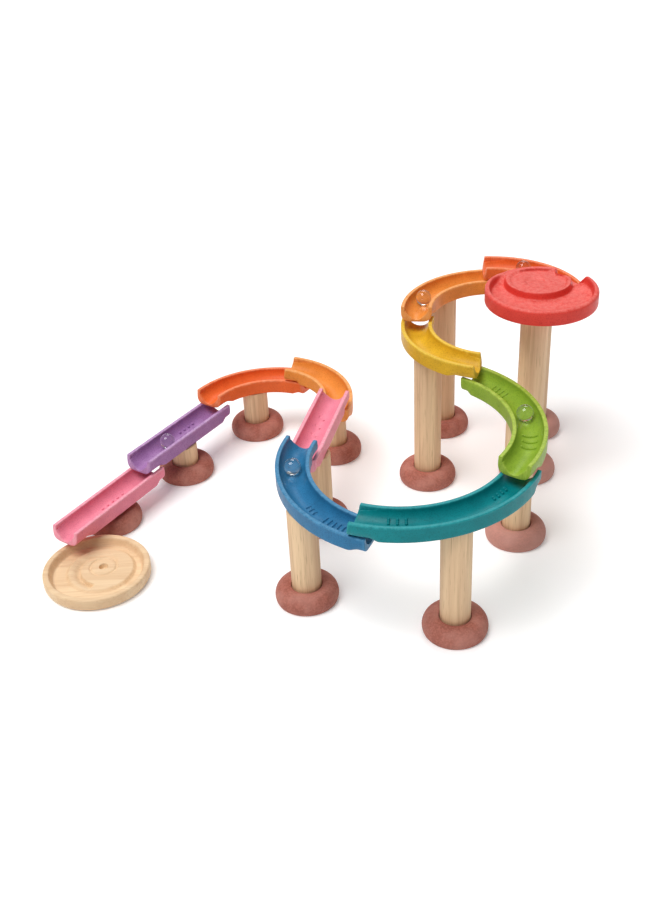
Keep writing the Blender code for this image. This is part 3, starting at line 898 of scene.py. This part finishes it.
def foot_profile(node):
    low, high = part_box(node)
    radius = 0.5 * (high.x - low.x)
    mouth = SOCKET_RADIUS + SOCKET_ROUND

    def height(r):
        share = (r - FOOT_CREST) / (radius - FOOT_CREST)
        return FOOT_BULGE + FOOT_SEMI_HEIGHT * math.sqrt(max(0.0, 1.0 - share ** 2))

    points = [(0.5 * SOCKET_RADIUS, SOCKET_FLOOR), (SOCKET_RADIUS, SOCKET_FLOOR)]
    lip = height(mouth) - SOCKET_ROUND
    for step in range(5):
        angle = math.radians(180.0 - 22.5 * step)
        points.append((mouth + SOCKET_ROUND * math.cos(angle), lip + SOCKET_ROUND * math.sin(angle)))
    steps = 22
    for step in range(1, steps + 1):
        r = mouth + (radius - mouth) * math.sin(0.5 * math.pi * step / steps)
        points.append((r, height(r)))
    for share in (0.66, 0.33, 0.08):
        z = FOOT_BULGE * share
        share = math.sqrt(1.0 - ((FOOT_BULGE - z) / FOOT_SEMI_HEIGHT) ** 2)
        points.append((FOOT_CREST + (radius - FOOT_CREST) * share, z))
    base = points[-1][0]
    return points + [(base - FOOT_BASE_ROUND, 0.0), (0.5 * base, 0.0)]


FADED = {1: 0.6, 2: 0.7, 5: 0.45}          # paler batch, by foot number
for number in range(1, 13):
    post = "post_%02d" % number
    foot = "foot_%02d" % number
    dowel = spin("dowel_%02d" % number, post_profile(post), node_centre(post), POST_SEGMENTS, POST_WOOD)
    ring = spin("ring_foot_%02d" % number, foot_profile(foot), node_centre(foot), FOOT_SEGMENTS, FOOT_WOOD)
    paint(ring, "faded", lambda vertex: FADED.get(number, 0.0))
    stand_for(dowel, post)
    stand_for(ring, foot)
print("12 posts and 12 feet")

# %% [markdown]
# ## The start disc
#
# A round middle, set towards the back, stands above a lane that runs round it. The lane starts level at the
# back left, gets deeper and wider round the front, and leaves through a gap at the back right. Such a shape
# is a height above a flat base for every direction and radius, so it is built as rings of points whose
# height a function gives.

# %% Build the start disc
DIRECTIONS = 240
DISC_RADIUS = 55.5 * MM
DISC_THICKNESS = 15.0 * MM
DISC_MIDDLE = 3.0 * MM             # radius of the smallest ring of points
DISC_TOP_ROUND = 3.0 * MM
DISC_BASE_ROUND = 1.2 * MM
# painted sheen: how much paler the disc's upward faces are drawn
DISC_TOP_SHEEN = 0.6
PLATEAU_DROP = 2.3 * MM            # from the rim's top to the raised middle
PLATEAU_RADIUS = 33.0 * MM
PLATEAU_SHIFT = Vector((1.0 * MM, 23.0 * MM))
WALL_INSIDE, WALL_OUTSIDE = 1.4 * MM, 1.6 * MM     # the middle's wall, about its edge
WALL_ROOM = 5.2 * MM               # kept between that edge and the disc's own
LANE_DEPTH = 6.5 * MM
LANE_FULL = 9.0 * MM               # a lane this wide has its whole depth
LANE_LEAST = 0.8 * MM
LANE_DIP = 0.6 * MM                # hollow in the lane's floor
DIP_FULL = 12.0 * MM
LANE_RISE = 0.22                   # share of the rim's height that the lane's floor climbs
LANE_START = (112.0, 160.0)        # degrees over which the rim grows
DISC_RIM = 4.0 * MM
RIM_SLOPE = 3.0 * MM
SLOPE_LEAST = 0.6 * MM
OUTLET = (26.0, 60.0)              # degrees
OUTLET_EDGE = 4.0
OUTLET_CUT = 7.5 * MM
disc_low, disc_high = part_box("start_disc")
DISC_CENTRE = Vector((disc_high.x - DISC_RADIUS, disc_low.y + DISC_RADIUS))
print("disc centre", [round(v / MM, 2) for v in DISC_CENTRE], "mm")


def smooth(t):
    t = min(max(t, 0.0), 1.0)
    return t * t * (3.0 - 2.0 * t)


def to_circle(angle, shift, radius):
    """Distance from the middle, along a direction, to a circle whose centre is shifted."""
    along = shift.x * math.cos(angle) + shift.y * math.sin(angle)
    off = shift.x * math.sin(angle) - shift.y * math.cos(angle)
    return along + math.sqrt(radius ** 2 - off ** 2)


def opened(degrees):
    return smooth(min(degrees - OUTLET[0], OUTLET[1] - degrees) / OUTLET_EDGE + 1.0)


def rim_growth(degrees):
    if degrees < OUTLET[0]:
        return 1.0
    return smooth((degrees - LANE_START[0]) / (LANE_START[1] - LANE_START[0]))


def disc_column(degrees):
    """(radius, height) points from the middle of the top, over the rim, to the middle underneath."""
    angle = math.radians(degrees)
    bottom = disc_low.z
    plateau = bottom + DISC_THICKNESS - PLATEAU_DROP
    gap = opened(degrees)
    outer = DISC_RADIUS - OUTLET_CUT * gap
    edge = min(to_circle(angle, PLATEAU_SHIFT, PLATEAU_RADIUS), outer - WALL_ROOM)
    wall_top, wall_foot = edge - WALL_INSIDE, edge + WALL_OUTSIDE
    lane_end = max(wall_foot + LANE_LEAST, outer - DISC_RIM - RIM_SLOPE)
    rim_start = max(lane_end + SLOPE_LEAST, outer - DISC_RIM)
    lane_width = lane_end - wall_foot
    floor = plateau - LANE_DEPTH * max(gap, smooth(lane_width / LANE_FULL))
    closed_rim = plateau + PLATEAU_DROP * rim_growth(degrees)
    rim = closed_rim + (floor - closed_rim) * gap
    points = []
    for step in range(31):
        r = DISC_MIDDLE + (wall_top - DISC_MIDDLE) * step / 30
        points.append((r, plateau + plateau_relief(r, degrees)))
    for step in range(1, 8):
        t = step / 7
        points.append((wall_top + (wall_foot - wall_top) * t, plateau - (plateau - floor) * smooth(t)))
    for step in range(1, 11):
        t = step / 10
        dip = LANE_DIP * math.sin(math.pi * t) * min(1.0, lane_width / DIP_FULL)
        points.append((wall_foot + lane_width * t, floor + LANE_RISE * (rim - floor) * t ** 2 - dip))
    start = points[-1]
    for step in range(1, 6):
        t = step / 5
        points.append((start[0] + (rim_start - start[0]) * t, start[1] + (rim - start[1]) * smooth(t)))
    crown = max(rim_start + 0.3 * MM, outer - DISC_TOP_ROUND)
    soft = outer - crown
    for step in range(7):
        turn = 0.5 * math.pi * step / 6
        points.append((crown + soft * math.sin(turn), rim - soft * (1.0 - math.cos(turn))))
    side_top, side_foot = rim - soft, bottom + DISC_BASE_ROUND
    for step in range(1, 4):
        points.append((outer, side_top + (side_foot - side_top) * step / 4))
    for step in range(5):
        turn = 0.5 * math.pi * step / 4
        points.append((outer - DISC_BASE_ROUND * (1.0 - math.cos(turn)),
                       side_foot - DISC_BASE_ROUND * math.sin(turn)))
    return points + [(0.5 * DISC_RADIUS, bottom), (DISC_MIDDLE, bottom)]


LIP = 4.2 * MM                     # width of the raised edge of the middle
LIP_SLOPE = 1.6 * MM
HOLLOW = 2.1 * MM
HOLLOW_DEEPEST = 50.0              # degrees round the raised middle
SWIRL_RADII = (6.0 * MM, 20.0 * MM)
SWIRL_SLOPE = 2.2 * MM
SWIRL_DEPTH = 0.9 * MM


def plateau_relief(radius, degrees):
    """The middle is hollowed inside a narrow lip, most at the back right, round a faint swirl."""
    angle = math.radians(degrees)
    x = radius * math.cos(angle) - PLATEAU_SHIFT.x
    y = radius * math.sin(angle) - PLATEAU_SHIFT.y
    from_middle = math.hypot(x, y)
    turned = math.degrees(math.atan2(y, x)) % 360.0
    inside = smooth((PLATEAU_RADIUS - LIP - from_middle) / LIP_SLOPE)
    off_deepest = abs((turned - HOLLOW_DEEPEST + 180.0) % 360.0 - 180.0)
    strength = 0.4 + 0.6 * smooth(1.6 - off_deepest / 90.0)
    swirl = SWIRL_RADII[0] + (SWIRL_RADII[1] - SWIRL_RADII[0]) * turned / 360.0
    step = smooth((swirl - from_middle) / SWIRL_SLOPE + 0.5) * smooth((350.0 - turned) / 60.0)
    return -HOLLOW * inside * strength - SWIRL_DEPTH * step


def ringed_solid(name, column_of, centre, material):
    """Closes a piece from a function that gives the (radius, height) points for each direction."""
    bm = bmesh.new()
    columns = [column_of(360.0 * i / DIRECTIONS) for i in range(DIRECTIONS)]
    rings = rings_of(bm, columns, centre)
    for ring in (rings[0], rings[-1]):
        middle = bm.verts.new(sum((v.co for v in ring), Vector()) / DIRECTIONS)
        for i in range(DIRECTIONS):
            bm.faces.new((middle, ring[i], ring[(i + 1) % DIRECTIONS]))
    made = new_piece(name, bm, material)
    tidy_mesh(made, 50.0)
    return made


spiral_disc = ringed_solid("spiral_disc", disc_column, DISC_CENTRE, DYES["disc"])
# Upward faces of the disc are drawn paler through the same attribute as the tracks' pale edges: a painted
# sheen for the light on its top.
paint(spiral_disc, "wear", lambda vertex: DISC_TOP_SHEEN * smooth((vertex.normal.z - 0.3) / 0.6))
stand_for(spiral_disc, "start_disc")
print(len(spiral_disc.data.vertices), "points in the disc")

# %% [markdown]
# ## The finish dish
#
# The dish is turned from pale wood. Inside its rounded rim runs a broad trough, and the floor carries a
# spiral groove that winds in to a small hole where the marbles gather. It is built the same way as the
# disc, with heights measured round the dish's own middle.

# %% Build the finish dish
dish_low, dish_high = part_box("finish_dish")
DISH_RADIUS = 0.5 * (dish_high.x - dish_low.x)
DISH_HEIGHT = 13.0 * MM
DISH_BASE_RADIUS = 48.0 * MM
DISH_MIDDLE = 0.4 * MM             # radius of the smallest ring of points
DISH_RIM = 5.0 * MM
DISH_WALL = 5.0 * MM               # width of the slope inside the rim
DISH_TOP_ROUND = 2.0 * MM
DISH_BELLY = 4.5 * MM              # height of the rounding underneath
DISH_STEPS = 66
TROUGH_FLOOR = 5.2 * MM
RING_PLACE = Vector((3.5 * MM, 2.0 * MM))     # the raised inner part
RING_RADIUS = 35.0 * MM
RING_SLOPE = 4.5 * MM
RING_HEIGHT = 3.2 * MM
HOLE_PLACE = Vector((5.5 * MM, 5.5 * MM))
HOLE_RADIUS = 3.8 * MM
HOLE_ROUND = 0.7 * MM
HOLE_SLOPE = 1.1 * MM
HOLE_DEPTH = 4.6 * MM
HALO_RADIUS = 13.0 * MM            # a fine ring turned round the hole
HALO_WIDTH = 1.2 * MM
HALO_DEPTH = 1.3 * MM
SPIRAL_FROM, SPIRAL_TO = 25.0, 262.0          # degrees round the hole
SPIRAL_RADII = (13.5 * MM, 28.0 * MM)
SPIRAL_DEPTHS = (1.8 * MM, 4.4 * MM)
SPIRAL_STEEP = 0.9 * MM            # width of the groove's inner side
SPIRAL_GENTLE = (2.0 * MM, 5.5 * MM)          # width of its outer side, at both ends


def bell(distance, width):
    return math.exp(-(distance / width) ** 2)


def dish_floor(x, y):
    """Height of the inside floor at a place measured from the dish's middle."""
    raised = smooth((RING_RADIUS - math.hypot(x - RING_PLACE.x, y - RING_PLACE.y)) / RING_SLOPE)
    z = TROUGH_FLOOR + RING_HEIGHT * raised
    dx, dy = x - HOLE_PLACE.x, y - HOLE_PLACE.y
    from_hole = math.hypot(dx, dy)
    degrees = math.degrees(math.atan2(dy, dx)) % 360.0
    share = (degrees - SPIRAL_FROM) / (SPIRAL_TO - SPIRAL_FROM)
    if 0.0 <= share <= 1.0:
        line = SPIRAL_RADII[0] + (SPIRAL_RADII[1] - SPIRAL_RADII[0]) * share ** 1.2
        ends = smooth(share / 0.1) * smooth((1.0 - share) / 0.05)
        off = from_hole - line
        gentle = SPIRAL_GENTLE[0] + (SPIRAL_GENTLE[1] - SPIRAL_GENTLE[0]) * share
        depth = SPIRAL_DEPTHS[0] + (SPIRAL_DEPTHS[1] - SPIRAL_DEPTHS[0]) * share ** 2
        z -= depth * ends * bell(off, SPIRAL_STEEP if off < 0.0 else gentle)
    z -= HALO_DEPTH * bell(from_hole - HALO_RADIUS, HALO_WIDTH)
    z -= HOLE_DEPTH * smooth((HOLE_RADIUS + HOLE_ROUND - from_hole) / HOLE_SLOPE)
    return z


def dish_column(degrees):
    angle = math.radians(degrees)
    c, d = math.cos(angle), math.sin(angle)
    wall_foot = DISH_RADIUS - DISH_RIM - DISH_WALL
    points = []
    for step in range(DISH_STEPS):
        r = DISH_MIDDLE + (wall_foot - DISH_MIDDLE) * step / (DISH_STEPS - 1)
        points.append((r, dish_floor(r * c, r * d)))
    start = points[-1]
    for step in range(1, 9):
        t = step / 8
        points.append((start[0] + DISH_WALL * t, start[1] + (DISH_HEIGHT - start[1]) * smooth(t) ** 1.2))
    crown = DISH_RADIUS - DISH_TOP_ROUND
    for step in range(7):
        turn = 0.5 * math.pi * step / 6
        points.append((crown + DISH_TOP_ROUND * math.sin(turn),
                       DISH_HEIGHT - DISH_TOP_ROUND * (1.0 - math.cos(turn))))
    under = DISH_RADIUS - DISH_BASE_RADIUS
    for step in range(1, 9):
        turn = 0.5 * math.pi * step / 8
        points.append((DISH_RADIUS - under * (1.0 - math.cos(turn)), DISH_BELLY * (1.0 - math.sin(turn))))
    return points + [(0.5 * DISH_BASE_RADIUS, 0.0), (3.0 * MM, 0.0)]


turned_dish = ringed_solid("turned_dish", dish_column, node_centre("finish_dish"), DISH_WOOD)
stand_for(turned_dish, "finish_dish")
print(len(turned_dish.data.vertices), "points in the dish")

# %% [markdown]
# ## Marbles
#
# A ball of glass needs an even, fine mesh, because every facet shows in the refraction. A subdivided
# icosahedron has no poles, so its highlights stay round.

# %% Build the marbles
for number in range(1, 6):
    node = "marble_%d" % number
    low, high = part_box(node)
    bm = bmesh.new()
    bmesh.ops.create_icosphere(bm, subdivisions=5, radius=0.5 * (high.z - low.z))
    bmesh.ops.translate(bm, verts=bm.verts, vec=0.5 * (low + high))
    ball = new_piece("glass_" + node, bm, GLASS)
    ball.data.shade_smooth()
    stand_for(ball, node)
print("5 marbles, each", len(ball.data.polygons), "faces")

# %% [markdown]
# ## Floor, light and camera
#
# The run stands on a plain white sweep under wide soft lamps, as for a catalogue. The floor glows a little,
# which keeps its shadows faint. The camera looks down by a third of a right angle.

# %% Floor
FLOOR_SIZE = 6.0
FLOOR_GLOW = 0.12
FLOOR_GAP = 0.2 * MM               # keeps the floor clear of the feet


def stage_floor():
    made, _, shader = new_material("white_sweep")
    shader.inputs["Base Color"].default_value = linear("#fbfbfb")
    shader.inputs["Roughness"].default_value = 0.9
    shader.inputs["Emission Color"].default_value = (1.0, 1.0, 1.0, 1.0)
    shader.inputs["Emission Strength"].default_value = FLOOR_GLOW
    mesh = bpy.data.meshes.new("floor")
    corners = [(x * FLOOR_SIZE, y * FLOOR_SIZE, 0.0) for x, y in ((-1, -1), (1, -1), (1, 1), (-1, 1))]
    mesh.from_pydata(corners, [], [(0, 1, 2, 3)])
    mesh.materials.append(made)
    floor = bpy.data.objects.new("floor", mesh)
    scene.collection.objects.link(floor)
    floor.location.z = -FLOOR_GAP
    floor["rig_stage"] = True


stage_floor()

# %% Light
def sun(name, direction, spread, strength):
    """A lamp so far and wide that it lights the whole sweep evenly. The direction points to it."""
    light = bpy.data.lights.new(name, "SUN")
    light.energy = strength
    light.angle = math.radians(spread)
    made = bpy.data.objects.new(name, light)
    made.rotation_euler = Vector(direction).to_track_quat("Z", "Y").to_euler()
    scene.collection.objects.link(made)


sun("overhead_front", (-0.33, -0.2, 0.95), 40.0, 2.4)
sun("back_rim", (0.1, 0.7, 0.75), 30.0, 0.8)
WORLD_STRENGTH = 0.27
world = bpy.data.worlds.new("studio")
world.use_nodes = True
background = world.node_tree.nodes["Background"]
background.inputs["Color"].default_value = (1.0, 1.0, 1.0, 1.0)
background.inputs["Strength"].default_value = WORLD_STRENGTH
scene.world = world
scene.view_settings.view_transform = "Standard"

# %% Camera
CAMERA_PLACE = (6.5 * MM, -967.9 * MM, 711.2 * MM)
CAMERA_DOWN = 33.03        # degrees below the horizon
CAMERA_ROLL = 3.0
LENS = 46.43               # mm, on a sensor 36 mm wide
camera_data = bpy.data.cameras.new("camera")
camera_data.lens = LENS
camera_data.sensor_width = 36.0
camera = bpy.data.objects.new("camera", camera_data)
camera.matrix_world = (Matrix.Translation(CAMERA_PLACE)
                       @ Matrix.Rotation(math.radians(90.0 - CAMERA_DOWN), 4, "X")
                       @ Matrix.Rotation(math.radians(-CAMERA_ROLL), 4, "Z"))
scene.collection.objects.link(camera)
scene.camera = camera

# %% Measure and finish
low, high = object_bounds()
print("visual box", [round(v / MM, 1) for v in high - low], "mm")
